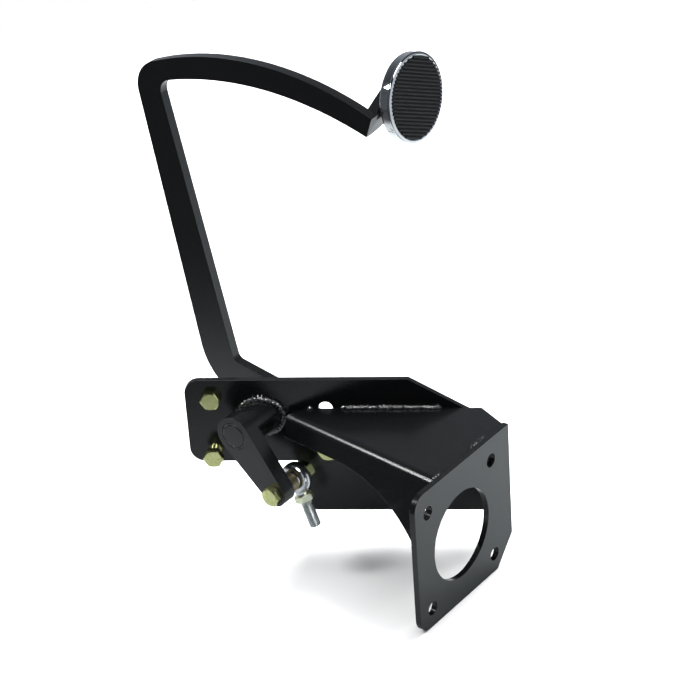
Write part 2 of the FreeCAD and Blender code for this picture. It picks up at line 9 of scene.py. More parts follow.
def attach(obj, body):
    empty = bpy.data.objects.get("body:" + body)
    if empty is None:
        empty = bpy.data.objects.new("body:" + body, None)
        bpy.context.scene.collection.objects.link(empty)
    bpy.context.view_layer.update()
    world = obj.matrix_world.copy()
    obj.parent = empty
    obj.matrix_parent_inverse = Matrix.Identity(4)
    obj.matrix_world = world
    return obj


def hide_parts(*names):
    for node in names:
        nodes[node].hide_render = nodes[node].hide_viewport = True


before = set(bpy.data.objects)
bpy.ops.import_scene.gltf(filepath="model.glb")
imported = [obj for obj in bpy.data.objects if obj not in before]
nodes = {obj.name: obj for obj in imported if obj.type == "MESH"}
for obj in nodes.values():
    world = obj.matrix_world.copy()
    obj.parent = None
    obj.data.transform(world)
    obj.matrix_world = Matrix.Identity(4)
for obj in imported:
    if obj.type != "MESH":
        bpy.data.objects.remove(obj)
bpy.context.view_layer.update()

# Lengths are millimetres in this script and become metres where a mesh is made.
MM = 0.001

# Bracket
PLATE = 4.76
FRAME_YAW = math.radians(30.4)
PIVOT = Vector((-180.0, -8.4, 56.0))
TUBE_RADIUS = 14.3
SHELF_TOP = 62.3
SHELF_UNDER = SHELF_TOP - PLATE
BOOSTER_BACK = -PLATE

# Pedal
SHAFT_RADIUS = 9.525
ARM_BACK = 21.04
LEVER_FACE = -45.0
LEVER_THICKNESS = 12.7
LEVER_BOLT = Vector((-144.6, LEVER_FACE, 13.8))
SPACER_LENGTH = 10.0
PAD_FRONT = Vector((-58.15, 52.5, 329.4))
PAD_TILT = math.radians(6.5)
RIB_TURN = math.radians(23.0)

# Rod end
BALL_HALF = 6.35
BALL_CENTRE = LEVER_BOLT + Vector((0, LEVER_THICKNESS + SPACER_LENGTH + BALL_HALF, 0))
ROD_HANG = math.radians(21.4)
ROD_LENGTH = 42.5

# Fasteners
BOLT_RADIUS = 4.765
BOLT_HOLE = 4.92
BOLT_TAIL = 2.1
HEX_ACROSS = 14.3
HEAD_HEIGHT = 6.2
NUT_HEIGHT = 8.3
COARSE_PITCH = 1.5875
FINE_PITCH = 1.058

ACROSS_Y = Matrix.Rotation(math.radians(-90), 4, "X")
PLATE_TURN = Matrix.Rotation(FRAME_YAW, 4, "Z")
ROD_PLACE = Matrix.Translation(BALL_CENTRE) @ Matrix.Rotation(-ROD_HANG, 4, "Y")
PAD_PLACE = (
    Matrix.Translation(PAD_FRONT)
    @ Matrix.Rotation(-PAD_TILT, 4, "Y")
    @ Matrix.Rotation(math.radians(90), 4, "Y")
)
RIB_PLACE = PAD_PLACE @ Matrix.Rotation(-RIB_TURN, 4, "Z")


def plate_point(along, up, depth):
    """Point on the frame plate: along it and above the pivot, and behind its front face."""
    return PIVOT + PLATE_TURN @ Vector((along, depth, up))


def full_turn(steps):
    """Evenly spaced angles round a circle."""
    return [2 * math.pi * i / steps for i in range(steps)]


def arc(half_angle, steps):
    """Evenly spaced angles from minus to plus a half angle, which is in degrees."""
    return [math.radians(-half_angle + 2 * half_angle * i / steps) for i in range(steps + 1)]


def polar(radius, turn, height):
    return Vector((radius * math.cos(turn), radius * math.sin(turn), height))


# Shader helpers

# Places of the colour sockets on a mix node
MIX_FIRST, MIX_SECOND, MIX_RESULT = 6, 7, 2


def new_group(name, inputs, outputs):
    group = bpy.data.node_groups.new(name, "ShaderNodeTree")
    for label, value in inputs:
        socket = group.interface.new_socket(label, in_out="INPUT", socket_type="NodeSocketFloat")
        socket.default_value = value
    for label in outputs:
        group.interface.new_socket(label, in_out="OUTPUT", socket_type="NodeSocketFloat")
    return group, group.nodes.new("NodeGroupInput"), group.nodes.new("NodeGroupOutput")


def feed(tree, source, target):
    """Links a socket, or sets a plain value on it."""
    if isinstance(source, bpy.types.NodeSocket):
        tree.links.new(source, target)
    else:
        target.default_value = source


def calc(tree, operation, first, second):
    node = tree.nodes.new("ShaderNodeMath")
    node.operation = operation
    feed(tree, first, node.inputs[0])
    feed(tree, second, node.inputs[1])
    return node.outputs[0]


def spread(tree, value, low, high, new_low, new_high):
    """Carries a value from one range over to another, and holds it at the ends."""
    node = tree.nodes.new("ShaderNodeMapRange")
    for source, target in zip((value, low, high, new_low, new_high), node.inputs):
        feed(tree, source, target)
    return node.outputs["Result"]


def own_place(tree):
    """Position on the object."""
    return tree.nodes.new("ShaderNodeTexCoord").outputs["Object"]


def axes_of(tree, vector):
    """X, Y and Z of a vector."""
    node = tree.nodes.new("ShaderNodeSeparateXYZ")
    tree.links.new(vector, node.inputs[0])
    return node.outputs


def grain(tree, place, size, detail, distortion=0.0):
    """Noise with features of about the given size in millimetres."""
    node = tree.nodes.new("ShaderNodeTexNoise")
    tree.links.new(place, node.inputs["Vector"])
    feed(tree, calc(tree, "DIVIDE", 1 / MM, size), node.inputs["Scale"])
    node.inputs["Detail"].default_value = detail
    node.inputs["Distortion"].default_value = distortion
    return node.outputs["Fac"]


def drifting_gloss(group, given, wave):
    """The group's gloss, moved up and down by a wave about one half."""
    swing = calc(group, "MULTIPLY", calc(group, "SUBTRACT", wave, 0.5), given.outputs["Gloss Drift"])
    return calc(group, "ADD", given.outputs["Gloss"], swing)


def blend_colours(tree, mask, first, second):
    """Goes from the first colour to the second with the mask. A colour is a socket or three numbers."""
    node = tree.nodes.new("ShaderNodeMix")
    node.data_type = "RGBA"
    tree.links.new(mask, node.inputs[0])
    for colour, place in ((first, MIX_FIRST), (second, MIX_SECOND)):
        feed(tree, colour + (1.0,) if isinstance(colour, tuple) else colour, node.inputs[place])
    return node.outputs[MIX_RESULT]


# Shader groups


def powder_skin_group():
    """Orange peel of a sprayed powder coat, with a gloss that drifts over the sheet."""
    speck_size, drift_size = 0.45, 46.0
    speck_height, speck_gloss = 0.22, 0.10
    group, given, out = new_group(
        "powder_skin",
        [("Peel Size", 2.2), ("Gloss", 0.25), ("Gloss Drift", 0.08)],
        ["Height", "Roughness"],
    )
    place = own_place(group)
    peel = grain(group, place, given.outputs["Peel Size"], detail=1.5)
    speck = grain(group, place, speck_size, detail=2.0)
    drift = grain(group, place, drift_size, detail=4.0, distortion=0.4)
    height = calc(group, "ADD", peel, calc(group, "MULTIPLY", speck, speck_height))
    group.links.new(height, out.inputs["Height"])
    fine = calc(group, "MULTIPLY", calc(group, "SUBTRACT", speck, 0.5), speck_gloss)
    rough = calc(group, "ADD", drifting_gloss(group, given, drift), fine)
    group.links.new(rough, out.inputs["Roughness"])
    return group


def settled_dust_group():
    """Mask of fine dust that lies on what faces up, thicker in patches."""
    patch_size = 22.0
    group, given, out = new_group("settled_dust", [("Amount", 0.1), ("Speck Size", 0.8)], ["Mask"])
    geometry = group.nodes.new("ShaderNodeNewGeometry")
    upward = axes_of(group, geometry.outputs["Normal"])["Z"]
    place = own_place(group)
    facing = spread(group, upward, -0.2, 1.0, 0.15, 1.0)
    patches = spread(group, grain(group, place, patch_size, detail=3.0), 0.38, 0.66, 0.25, 1.0)
    specks = spread(group, grain(group, place, given.outputs["Speck Size"], detail=2.0), 0.52, 0.74, 0.0, 1.0)
    mask = calc(group, "MULTIPLY", calc(group, "MULTIPLY", facing, patches), specks)
    group.links.new(calc(group, "MULTIPLY", mask, given.outputs["Amount"]), out.inputs["Mask"])
    return group


def plating_group():
    """Mottle, fine handling scratches and a gloss that changes over a plated part."""
    scratch_stretch = (1.0, 0.16, 1.0)
    mottle_share, scratch_share = 0.7, 0.3
    smoothest = 0.02
    group, given, out = new_group(
        "plating",
        [("Mottle Size", 3.0), ("Gloss", 0.2), ("Gloss Drift", 0.15), ("Scratch Size", 0.5)],
        ["Mottle", "Roughness", "Height"],
    )
    place = own_place(group)
    mottle = grain(group, place, given.outputs["Mottle Size"], detail=3.0, distortion=0.6)
    stretch = group.nodes.new("ShaderNodeMapping")
    stretch.inputs["Scale"].default_value = scratch_stretch
    group.links.new(place, stretch.inputs["Vector"])
    scratch = grain(group, stretch.outputs["Vector"], given.outputs["Scratch Size"], detail=3.0)
    group.links.new(spread(group, mottle, 0.30, 0.70, 0.0, 1.0), out.inputs["Mottle"])
    wave = calc(
        group, "ADD",
        calc(group, "MULTIPLY", mottle, mottle_share),
        calc(group, "MULTIPLY", scratch, scratch_share),
    )
    rough = calc(group, "MAXIMUM", drifting_gloss(group, given, wave), smoothest)
    group.links.new(rough, out.inputs["Roughness"])
    group.links.new(scratch, out.inputs["Height"])
    return group


POWDER_SKIN = powder_skin_group()
SETTLED_DUST = settled_dust_group()
PLATING = plating_group()


# Finishes

DUST_COLOUR = (0.30, 0.29, 0.27)
COAT_BLACK = (0.0036, 0.0040, 0.0044)
COAT_RELIEF = 0.5
PLATED_RELIEF = 0.4


def new_finish(name):
    finish = bpy.data.materials.new(name)
    finish.use_nodes = True
    tree = finish.node_tree
    return finish, tree, tree.nodes["Principled BSDF"]


def placed_group(tree, group, **values):
    node = tree.nodes.new("ShaderNodeGroup")
    node.node_tree = group
    for label, value in values.items():
        node.inputs[label.replace("_", " ").title()].default_value = value
    return node.outputs


def raise_surface(tree, shader, height, depth, strength):
    bump = tree.nodes.new("ShaderNodeBump")
    bump.inputs["Strength"].default_value = strength
    bump.inputs["Distance"].default_value = depth * MM
    tree.links.new(height, bump.inputs["Height"])
    tree.links.new(bump.outputs["Normal"], shader.inputs["Normal"])


def coated_finish(name, colour, gloss, drift, peel_size, peel_depth, dust, shine=1.5):
    """Paint or rubber with a peel, a drifting gloss and a little dust."""
    finish, tree, shader = new_finish(name)
    skin = placed_group(tree, POWDER_SKIN, peel_size=peel_size, gloss=gloss, gloss_drift=drift)
    mask = placed_group(tree, SETTLED_DUST, amount=dust)["Mask"]
    tree.links.new(blend_colours(tree, mask, colour, DUST_COLOUR), shader.inputs["Base Color"])
    tree.links.new(skin["Roughness"], shader.inputs["Roughness"])
    raise_surface(tree, shader, skin["Height"], peel_depth, COAT_RELIEF)
    shader.inputs["IOR"].default_value = shine
    return finish


def plated_finish(name, colour, stain, gloss, drift, mottle_size, scratch_depth):
    """Metal with a mottled colour, a drifting gloss and fine scratches."""
    finish, tree, shader = new_finish(name)
    skin = placed_group(tree, PLATING, mottle_size=mottle_size, gloss=gloss, gloss_drift=drift)
    tree.links.new(blend_colours(tree, skin["Mottle"], colour, stain), shader.inputs["Base Color"])
    tree.links.new(skin["Roughness"], shader.inputs["Roughness"])
    raise_surface(tree, shader, skin["Height"], scratch_depth, PLATED_RELIEF)
    shader.inputs["Metallic"].default_value = 1.0
    return finish


BLACK_COAT = coated_finish(
    "black_coat", COAT_BLACK, gloss=0.23, drift=0.10, peel_size=2.4, peel_depth=0.026, dust=0.015)
WELD_COAT = coated_finish(
    "weld_coat", COAT_BLACK, gloss=0.06, drift=0.04, peel_size=1.8, peel_depth=0.50, dust=0.01, shine=2.0)
YELLOW_ZINC = plated_finish(
    "yellow_zinc", (0.70, 0.69, 0.33), (0.56, 0.60, 0.28),
    gloss=0.24, drift=0.14, mottle_size=4.5, scratch_depth=0.004)
# Darker, browner copy of the yellow zinc: painted shade on the lever spacer.
SHADED_YELLOW_ZINC = plated_finish(
    "yellow_zinc_painted_shade", (0.36, 0.30, 0.19), (0.26, 0.23, 0.14),
    gloss=0.34, drift=0.20, mottle_size=5.0, scratch_depth=0.006)
# Lighter copy of the yellow zinc: painted light on the jam nut.
LIT_YELLOW_ZINC = plated_finish(
    "yellow_zinc_painted_light", (0.97, 0.98, 0.74), (0.90, 0.93, 0.68),
    gloss=0.36, drift=0.12, mottle_size=4.5, scratch_depth=0.004)
BRIGHT_STEEL = plated_finish(
    "bright_steel", (0.74, 0.76, 0.76), (0.66, 0.69, 0.69),
    gloss=0.25, drift=0.12, mottle_size=6.0, scratch_depth=0.004)
CHROME = plated_finish(
    "chrome", (0.60, 0.61, 0.63), (0.56, 0.57, 0.59),
    gloss=0.05, drift=0.05, mottle_size=9.0, scratch_depth=0.0015)
SATIN_CHROME = plated_finish(
    "satin_chrome", (0.66, 0.67, 0.69), (0.62, 0.63, 0.65),
    gloss=0.17, drift=0.08, mottle_size=7.0, scratch_depth=0.002)
BRONZE = plated_finish(
    "bronze", (0.52, 0.34, 0.15), (0.40, 0.25, 0.11),
    gloss=0.42, drift=0.25, mottle_size=2.0, scratch_depth=0.030)
RUBBER = coated_finish(
    "rubber", (0.007, 0.0075, 0.0080),
    gloss=0.56, drift=0.14, peel_size=0.8, peel_depth=0.040, dust=0.02, shine=1.33)


# Mesh helpers


def new_piece(name, mesh_work, finish, body, replaced=(), sharp=30.0):
    """Makes a piece in metres from millimetre mesh work, ties it to its body and hides the solids it stands for."""
    bmesh.ops.recalc_face_normals(mesh_work, faces=mesh_work.faces)
    for face in mesh_work.faces:
        face.smooth = True
    mesh = bpy.data.meshes.new(name)
    mesh_work.to_mesh(mesh)
    mesh_work.free()
    mesh.transform(Matrix.Scale(MM, 4))
    mesh.set_sharp_from_angle(angle=math.radians(sharp))
    mesh.materials.append(finish)
    piece = bpy.data.objects.new(name, mesh)
    bpy.context.scene.collection.objects.link(piece)
    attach(piece, body)
    if replaced:
        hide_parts(*replaced)
    return piece


def welded_mesh(first, second):
    """One mesh from two solids that a weld joins."""
    holders = []
    for node in (first, second):
        holder = bpy.data.objects.new(node + "_joining", nodes[node].data.copy())
        bpy.context.scene.collection.objects.link(holder)
        holders.append(holder)
    union = holders[0].modifiers.new("weld", "BOOLEAN")
    union.operation = "UNION"
    union.solver = "EXACT"
    union.object = holders[1]
    settled = holders[0].evaluated_get(bpy.context.evaluated_depsgraph_get())
    mesh = bpy.data.meshes.new_from_object(settled)
    for holder in holders:
        spare = holder.data
        bpy.data.objects.remove(holder)
        bpy.data.meshes.remove(spare)
    return mesh


MERGE_GAP = 0.01
FLAT_ANGLE = 0.4
EDGE_ANGLE = 35.0
ROUND_STEPS = 3


def soft_edged(node, round_over, finish, body, welded_to=None):
    """The solid's own shape with its edges rounded over, as blasting and coating leave them."""
    work = bmesh.new()
    source = welded_mesh(node, welded_to) if welded_to else nodes[node].data
    work.from_mesh(source)
    if welded_to:
        bpy.data.meshes.remove(source)
    bmesh.ops.scale(work, vec=(1 / MM, 1 / MM, 1 / MM), verts=work.verts)
    bmesh.ops.remove_doubles(work, verts=work.verts, dist=MERGE_GAP)
    bmesh.ops.dissolve_limit(work, angle_limit=math.radians(FLAT_ANGLE), verts=work.verts, edges=work.edges)
    stands_for = (node, welded_to) if welded_to else (node,)
    piece = new_piece(node + "_coated", work, finish, body, stands_for, sharp=EDGE_ANGLE)
    edges = piece.modifiers.new("rounded_edges", "BEVEL")
    edges.width = round_over * MM
    edges.segments = ROUND_STEPS
    edges.limit_method = "ANGLE"
    edges.angle_limit = math.radians(EDGE_ANGLE)
    edges.harden_normals = True


def join_rings(work, low, high):
    """Faces between two rings of points, or between a ring and one point."""
    count = max(len(low), len(high))
    for i in range(count):
        j = (i + 1) % count
        if len(low) == 1:
            corners = [low[0], high[j], high[i]]
        elif len(high) == 1:
            corners = [low[i], low[j], high[0]]
        else:
            corners = [low[i], low[j], high[j], high[i]]
        work.faces.new(corners)


def join_all(work, rings, closed=False):
    """Faces from each ring to the next, and from the last to the first of a closed row."""
    for low, high in zip(rings, rings[1:]):
        join_rings(work, low, high)
    if closed:
        join_rings(work, rings[-1], rings[0])


def cap(work, ring, place, height):
    """Closes a ring with a point on the local Z axis."""
    join_rings(work, ring, [work.verts.new(place @ Vector((0, 0, height)))])


def spun(work, profile, place, steps=96, closed=False):
    """Turns (radius, height) points about the local Z axis."""
    rings = []
    for radius, height in profile:
        turns = full_turn(steps) if radius > 0 else [0.0]
        rings.append([work.verts.new(place @ polar(radius, turn, height)) for turn in turns])
    join_all(work, rings, closed)


THREAD_ROWS = 8
CREST_GAP = 0.02
END_GAP = 0.15
FLANK_SLOPE = 2.5
CREST_SHARE = 0.125


def thread(work, place, start, stop, pitch, steps=36):
    """A screw thread along local Z with a flat crest and root, a bevelled free end and closed ends."""
    depth = 0.5 * pitch
    root = BOLT_RADIUS - depth * 1.25
    bevel = depth * 1.3
    rows = int((stop - start) / pitch * THREAD_ROWS)
    rings = []
    for row in range(rows + 1):
        height = start + (stop - start) * row / rows
        limit = max(BOLT_RADIUS - END_GAP - max(0.0, bevel - (stop - height)), root)
        ring = []
        for i, turn in enumerate(full_turn(steps)):
            phase = (height / pitch - i / steps) % 1.0
            flank = min(1.0, max(0.0, FLANK_SLOPE * abs(phase - 0.5) - CREST_SHARE))
            reach = min(BOLT_RADIUS - CREST_GAP - depth * flank, limit)
            ring.append(work.verts.new(place @ polar(reach, turn, height)))
        rings.append(ring)
    join_all(work, rings)
    cap(work, rings[0], place, start)
    cap(work, rings[-1], place, stop)


HEX_STEPS = 96
CORNER_SHARPNESS = 90
CONE_RADIUS = HEX_ACROSS / 2 * 0.94
CONE_SLOPE = math.tan(math.radians(30))
EDGE_BREAK = 0.12


def hex_radius(turn):
    """Distance from the axis to a hexagon with slightly rounded corners, with a corner at turn 0."""
    total = sum(
        max(0.0, math.cos(turn - math.radians(30 + 60 * k))) ** CORNER_SHARPNESS for k in range(6)
    )
    return HEX_ACROSS / 2 / total ** (1 / CORNER_SHARPNESS)


def hexagon(work, place, low, high, chamfer_low, chamfer_high):
    """Hexagon along local Z. A chamfered end has the turned cone that scallops its flats."""
    turns = full_turn(HEX_STEPS)
    reaches = [hex_radius(turn) for turn in turns]

    def end_rings(level, inward, chamfered):
        """Radii and heights of one end's rings, from its face to its flats."""
        falls = [inward * (reach - CONE_RADIUS) * CONE_SLOPE if chamfered else 0.0 for reach in reaches]
        rings = []
        if chamfered:
            rings.append([(CONE_RADIUS, level) for _ in turns])
        rings.append([(reach - EDGE_BREAK, level + fall) for reach, fall in zip(reaches, falls)])
        rings.append([(reach, level + inward * EDGE_BREAK + fall) for reach, fall in zip(reaches, falls)])
        return rings

    layers = [[work.verts.new(place @ Vector((0, 0, low)))]]
    for ring in end_rings(low, 1, chamfer_low) + end_rings(high, -1, chamfer_high)[::-1]:
        layers.append([
            work.verts.new(place @ polar(radius, turn, height)) for turn, (radius, height) in zip(turns, ring)
        ])
    layers.append([work.verts.new(place @ Vector((0, 0, high)))])
    join_all(work, layers)


def ridge(work, place, size, centre):
    """Small ridge: a block whose top is narrower than its foot."""
    top_share = 0.7
    for vert in bmesh.ops.create_cube(work, size=1.0)["verts"]:
        share = top_share if vert.co.z > 0 else 1.0
        local = Vector((vert.co.x * size[0] * share, vert.co.y * size[1] * share, vert.co.z * size[2]))
        vert.co = place @ (local + centre)


HEAD_FOOT = -0.45
WASHER_FACE = [(0, HEAD_FOOT), (6.7, HEAD_FOOT), (6.7, -0.1), (6.5, 0.0), (0, 0.0)]
MARK_SIZE = (2.4, 0.55, 0.3)
MARK_CENTRE = Vector((4.2, 0, -HEAD_HEIGHT - 0.05))


def hex_bolt(name, base, turn, length, body):
    """Hexagon bolt with strength marks on its head, a washer face and a thread along its shank."""
    place = Matrix.Translation(base) @ turn
    work = bmesh.new()
    hexagon(work, place, -HEAD_HEIGHT, HEAD_FOOT, True, False)
    spun(work, WASHER_FACE, place)
    for k in range(6):
        ridge(work, place @ Matrix.Rotation(math.radians(60 * k), 4, "Z"), MARK_SIZE, MARK_CENTRE)
    thread(work, place, 0.0, length, COARSE_PITCH)
    new_piece(name + "_threaded", work, YELLOW_ZINC, body, (name,))


def hex_nut(name, base, turn, height, body, finish=YELLOW_ZINC):
    work = bmesh.new()
    hexagon(work, Matrix.Translation(base) @ turn, 0.0, height, True, True)
    new_piece(name + "_chamfered", work, finish, body, (name,))


BEAD_STEP = 0.4
BEAD_SIDES = 14
RIPPLE_PITCH = 2.9
RIPPLE_BOW = 0.55
RIPPLE_FLOOR, RIPPLE_RISE, RIPPLE_POWER = 0.66, 0.34, 0.7
LUMP_ALONG, LUMP_ROUND, LUMP_SHARE = 0.33, 1.8, 0.34
TAPER_START, TAPER_LENGTH = 0.35, 1.6
STEEP = 0.9


def stepped_line(path, closed):
    """Points a short step apart along a path, each with its distance from the start, and the whole length."""
    points = [Vector(p) for p in path]
    if closed:
        points.append(points[0])
    line = []
    travelled = 0.0
    for start, end in zip(points, points[1:]):
        length = (end - start).length
        steps = max(1, round(length / BEAD_STEP))
        line += [(start.lerp(end, i / steps), travelled + length * i / steps) for i in range(steps)]
        travelled += length
    if not closed:
        line.append((points[-1], travelled))
    return line, travelled


def bead_reach(run, turn, radius, seed):
    """Share of a bead's radius at one place: bowed ripples with uneven lumps."""
    phase = (run + radius * RIPPLE_BOW * math.cos(turn)) / RIPPLE_PITCH
    crest = RIPPLE_FLOOR + RIPPLE_RISE * abs(math.sin(math.pi * phase)) ** RIPPLE_POWER
    return crest + noise.noise(Vector((run * LUMP_ALONG, seed, LUMP_ROUND * math.cos(turn)))) * LUMP_SHARE


def weld_bead(name, path, radius, body, closed=False, seed=0.0):
    """Bead of overlapping ripples along a path, a little uneven as a hand weld is."""
    line, length = stepped_line(path, closed)
    work = bmesh.new()
    rings = []
    count = len(line)
    for i, (spot, run) in enumerate(line):
        ahead = line[(i + 1) % count][0] if closed or i + 1 < count else spot
        behind = line[i - 1][0] if closed or i else spot
        heading = (ahead - behind).normalized()
        across = heading.orthogonal() if abs(heading.z) > STEEP else heading.cross(Vector((0, 0, 1)))
        across.normalize()
        upward = across.cross(heading)
        taper = 1.0
        if not closed:
            taper = min(1.0, TAPER_START + min(run, length - run) / (radius * TAPER_LENGTH))
        ring = []
        for turn in full_turn(BEAD_SIDES):
            reach = radius * taper * bead_reach(run, turn, radius, seed)
            ring.append(work.verts.new(spot + (across * math.cos(turn) + upward * math.sin(turn)) * reach))
        rings.append(ring)
    join_all(work, rings, closed)
    if not closed:
        work.faces.new(rings[0])
        work.faces.new(rings[-1])
    new_piece(name, work, WELD_COAT, body, sharp=70.0)


# Coated plates, tube, shaft, lever and arm

soft_edged("booster_plate", 0.6, BLACK_COAT, "bracket")
soft_edged("frame_plate", 0.6, BLACK_COAT, "bracket")
soft_edged("shelf_gusset", 0.5, BLACK_COAT, "bracket")
soft_edged("pivot_tube", 0.5, BLACK_COAT, "bracket")
soft_edged("pushrod_lever", 0.9, BLACK_COAT, "pedal")
soft_edged("pivot_shaft", 0.5, BLACK_COAT, "pedal")
soft_edged("pedal_arm", 0.8, BLACK_COAT, "pedal", welded_to="pad_lug")
soft_edged("pad_stud", 0.5, BRIGHT_STEEL, "pedal")
for bush in ("front_bush", "rear_bush"):
    nodes[bush].data.materials.clear()
    nodes[bush].data.materials.append(BRONZE)


# Welds

TUBE_BEAD = 3.2
BEAD_OFFSET = 1.0
BEAD_SEAT = 0.8
LUG_FACE = 15.5
# Distance behind the lug's face, and below the pad's centre, along the edge where the lug meets the arm
LUG_ROOT = [(3.0, 1.6), (9.6, 1.6), (9.6, 17.8), (7.0, 17.8)]


def tube_weld(depth):
    """Path round the tube where it passes the frame plate at this depth behind the front face."""
    path = []
    reach = TUBE_RADIUS + BEAD_SEAT
    for turn in full_turn(72):
        x = reach * math.cos(turn)
        y = x * math.tan(FRAME_YAW) + depth / math.cos(FRAME_YAW)
        path.append(PIVOT + Vector((x, y, reach * math.sin(turn))))
    return path


def pivot_ring(y, radius):
    """Circle about the pivot's axis."""
    centre = Vector((PIVOT.x, y, PIVOT.z))
    return [centre + Vector((radius * math.cos(a), 0, radius * math.sin(a))) for a in full_turn(60)]


def shelf_seam(x, up):
    """Point just in front of the frame plate, at the shelf's top or underside."""
    y = (x - PIVOT.x) * math.tan(FRAME_YAW) + PIVOT.y
    return Vector((x + 0.35, y - 0.6, up))


def booster_seam(y, up, gap=0.7):
    """Point just behind the booster plate."""
    return Vector((BOOSTER_BACK - gap, y, up))


weld_bead("tube_weld_front", tube_weld(-BEAD_OFFSET), TUBE_BEAD, "bracket", closed=True, seed=1.3)
weld_bead("tube_weld_back", tube_weld(PLATE + BEAD_OFFSET), TUBE_BEAD, "bracket", closed=True, seed=2.1)
BRACKET_SEAMS = [
    ("shelf_weld_top", shelf_seam(-126, SHELF_TOP + 0.5), shelf_seam(-58, SHELF_TOP + 0.5), 2.4, 3.7),
    ("shelf_weld_tack", shelf_seam(-149, SHELF_TOP + 0.5), shelf_seam(-145, SHELF_TOP + 0.5), 2.2, 4.2),
    ("shelf_weld_under", shelf_seam(-140, SHELF_UNDER - 0.5), shelf_seam(-44, SHELF_UNDER - 0.5), 1.9, 5.5),
    ("booster_weld_top_near", booster_seam(-27, SHELF_TOP - 0.3), booster_seam(-17, SHELF_TOP - 0.3), 1.9, -20.6),
    ("booster_weld_top_far", booster_seam(22, SHELF_TOP - 0.3), booster_seam(44, SHELF_TOP - 0.3), 1.9, 28.4),
    ("booster_weld_flange", booster_seam(-29.2, 59.6), booster_seam(-49.2, 10.0), 1.9, 7.9),
    ("booster_weld_under", booster_seam(-18, SHELF_UNDER - 0.8, 0.8), booster_seam(60, SHELF_UNDER - 0.8, 0.8),
     1.9, 8.8),
]
for name, start, end, radius, seed in BRACKET_SEAMS:
    weld_bead(name, [start, end], radius, "bracket", seed=seed)
weld_bead("arm_weld", pivot_ring(ARM_BACK + 0.4, SHAFT_RADIUS + 0.6), 1.4, "pedal", closed=True, seed=9.6)
weld_bead("lever_weld", pivot_ring(LEVER_FACE + 0.95, SHAFT_RADIUS + 0.9), 0.95, "pedal", closed=True, seed=10.2)
weld_bead("lug_weld", [
    PAD_PLACE @ Vector((low, ARM_BACK + 0.6 - PAD_FRONT.y, -LUG_FACE - back)) for back, low in LUG_ROOT
], 1.4, "pedal", seed=11.5)


# Fasteners

BOLT_TURN = PLATE_TURN @ ACROSS_Y
FRAME_BOLT_LENGTH = 25.4
# Place along the frame plate, height above the pivot, and how far the head stands off the plate
FRAME_BOLTS = {"upper": (-39.5, 15.5, 0.0), "lower": (-39.5, -31.0, 9.5), "right": (50.4, -31.0, 0.0)}
for spot, (along, up, stand) in FRAME_BOLTS.items():
    hex_bolt("frame_bolt_" + spot, plate_point(along, up, -stand), BOLT_TURN, FRAME_BOLT_LENGTH, "bracket")
    hex_nut("frame_nut_" + spot, plate_point(along, up, PLATE), BOLT_TURN, NUT_HEIGHT, "bracket")
LEVER_NUT = BALL_CENTRE + Vector((0, BALL_HALF, 0))
hex_bolt("lever_bolt", LEVER_BOLT, ACROSS_Y, LEVER_NUT.y + NUT_HEIGHT + BOLT_TAIL - LEVER_FACE, "pedal")
hex_nut("lever_nut", LEVER_NUT, ACROSS_Y, NUT_HEIGHT, "pedal")

spacer = bmesh.new()
spun(spacer, [
    (BOLT_HOLE, 0.5), (5.4, 0.0), (7.5, 0.0), (7.95, 0.45), (7.95, SPACER_LENGTH - 0.45), (7.5, SPACER_LENGTH),
    (5.4, SPACER_LENGTH), (BOLT_HOLE, SPACER_LENGTH - 0.5),
], Matrix.Translation(LEVER_BOLT + Vector((0, LEVER_THICKNESS, 0))) @ ACROSS_Y, closed=True)
# The spacer's yellow zinc with its shade painted in.
new_piece("lever_spacer_turned", spacer, SHADED_YELLOW_ZINC, "pedal", ("lever_spacer",))


# Rod end

BALL_RADIUS = 8.75
BALL_CUT = 46.2
EYE_BORE = 8.80
EYE_HALF = 5.15
EYE_MOUTH = 7.7
EYE_SHOULDER = 10.4
EYE_CROWN = 2.3
# Height from the ball's centre, half width and half thickness of the neck between the eye and the stem
NECK = [
    (-9.6, 8.2, 4.6), (-10.6, 7.4, 4.8), (-11.6, 6.5, 5.0), (-12.6, 5.8, 5.1), (-13.6, 5.35, 5.05), (-14.4, 5.1, 5.0),
]
STEM_START = 14.0
JAM_NUT_PLACE = Vector((0, 0, -20.0))
JAM_NUT_HEIGHT = 5.6

ball = bmesh.new()
spun(ball, [(BOLT_HOLE, -BALL_HALF)]
     + [(BALL_RADIUS * math.cos(a), BALL_RADIUS * math.sin(a)) for a in arc(BALL_CUT, 24)]
     + [(BOLT_HOLE, BALL_HALF)],
     Matrix.Translation(BALL_CENTRE) @ ACROSS_Y, closed=True)
new_piece("rod_ball_polished", ball, CHROME, "pedal", ("rod_ball",))

eye = bmesh.new()
spun(eye, [(EYE_BORE * math.cos(a), EYE_BORE * math.sin(a)) for a in arc(34, 16)]
     + [(EYE_MOUTH, EYE_HALF), (EYE_SHOULDER, EYE_HALF)]
     + [(EYE_SHOULDER + EYE_CROWN * math.cos(a) ** 0.7, EYE_HALF * math.sin(a)) for a in arc(90, 20)[-2:0:-1]]
     + [(EYE_SHOULDER, -EYE_HALF), (EYE_MOUTH, -EYE_HALF)],
     ROD_PLACE @ ACROSS_Y, closed=True)
neck_rings = [
    [eye.verts.new(ROD_PLACE @ Vector((wide * math.cos(a), thick * math.sin(a), height))) for a in full_turn(64)]
    for height, wide, thick in NECK
]
join_all(eye, neck_rings)
cap(eye, neck_rings[-1], ROD_PLACE, NECK[-1][0])
cap(eye, neck_rings[0], ROD_PLACE, NECK[0][0])
new_piece("rod_eye", eye, SATIN_CHROME, "rod_end", ("rod_end",), sharp=50.0)

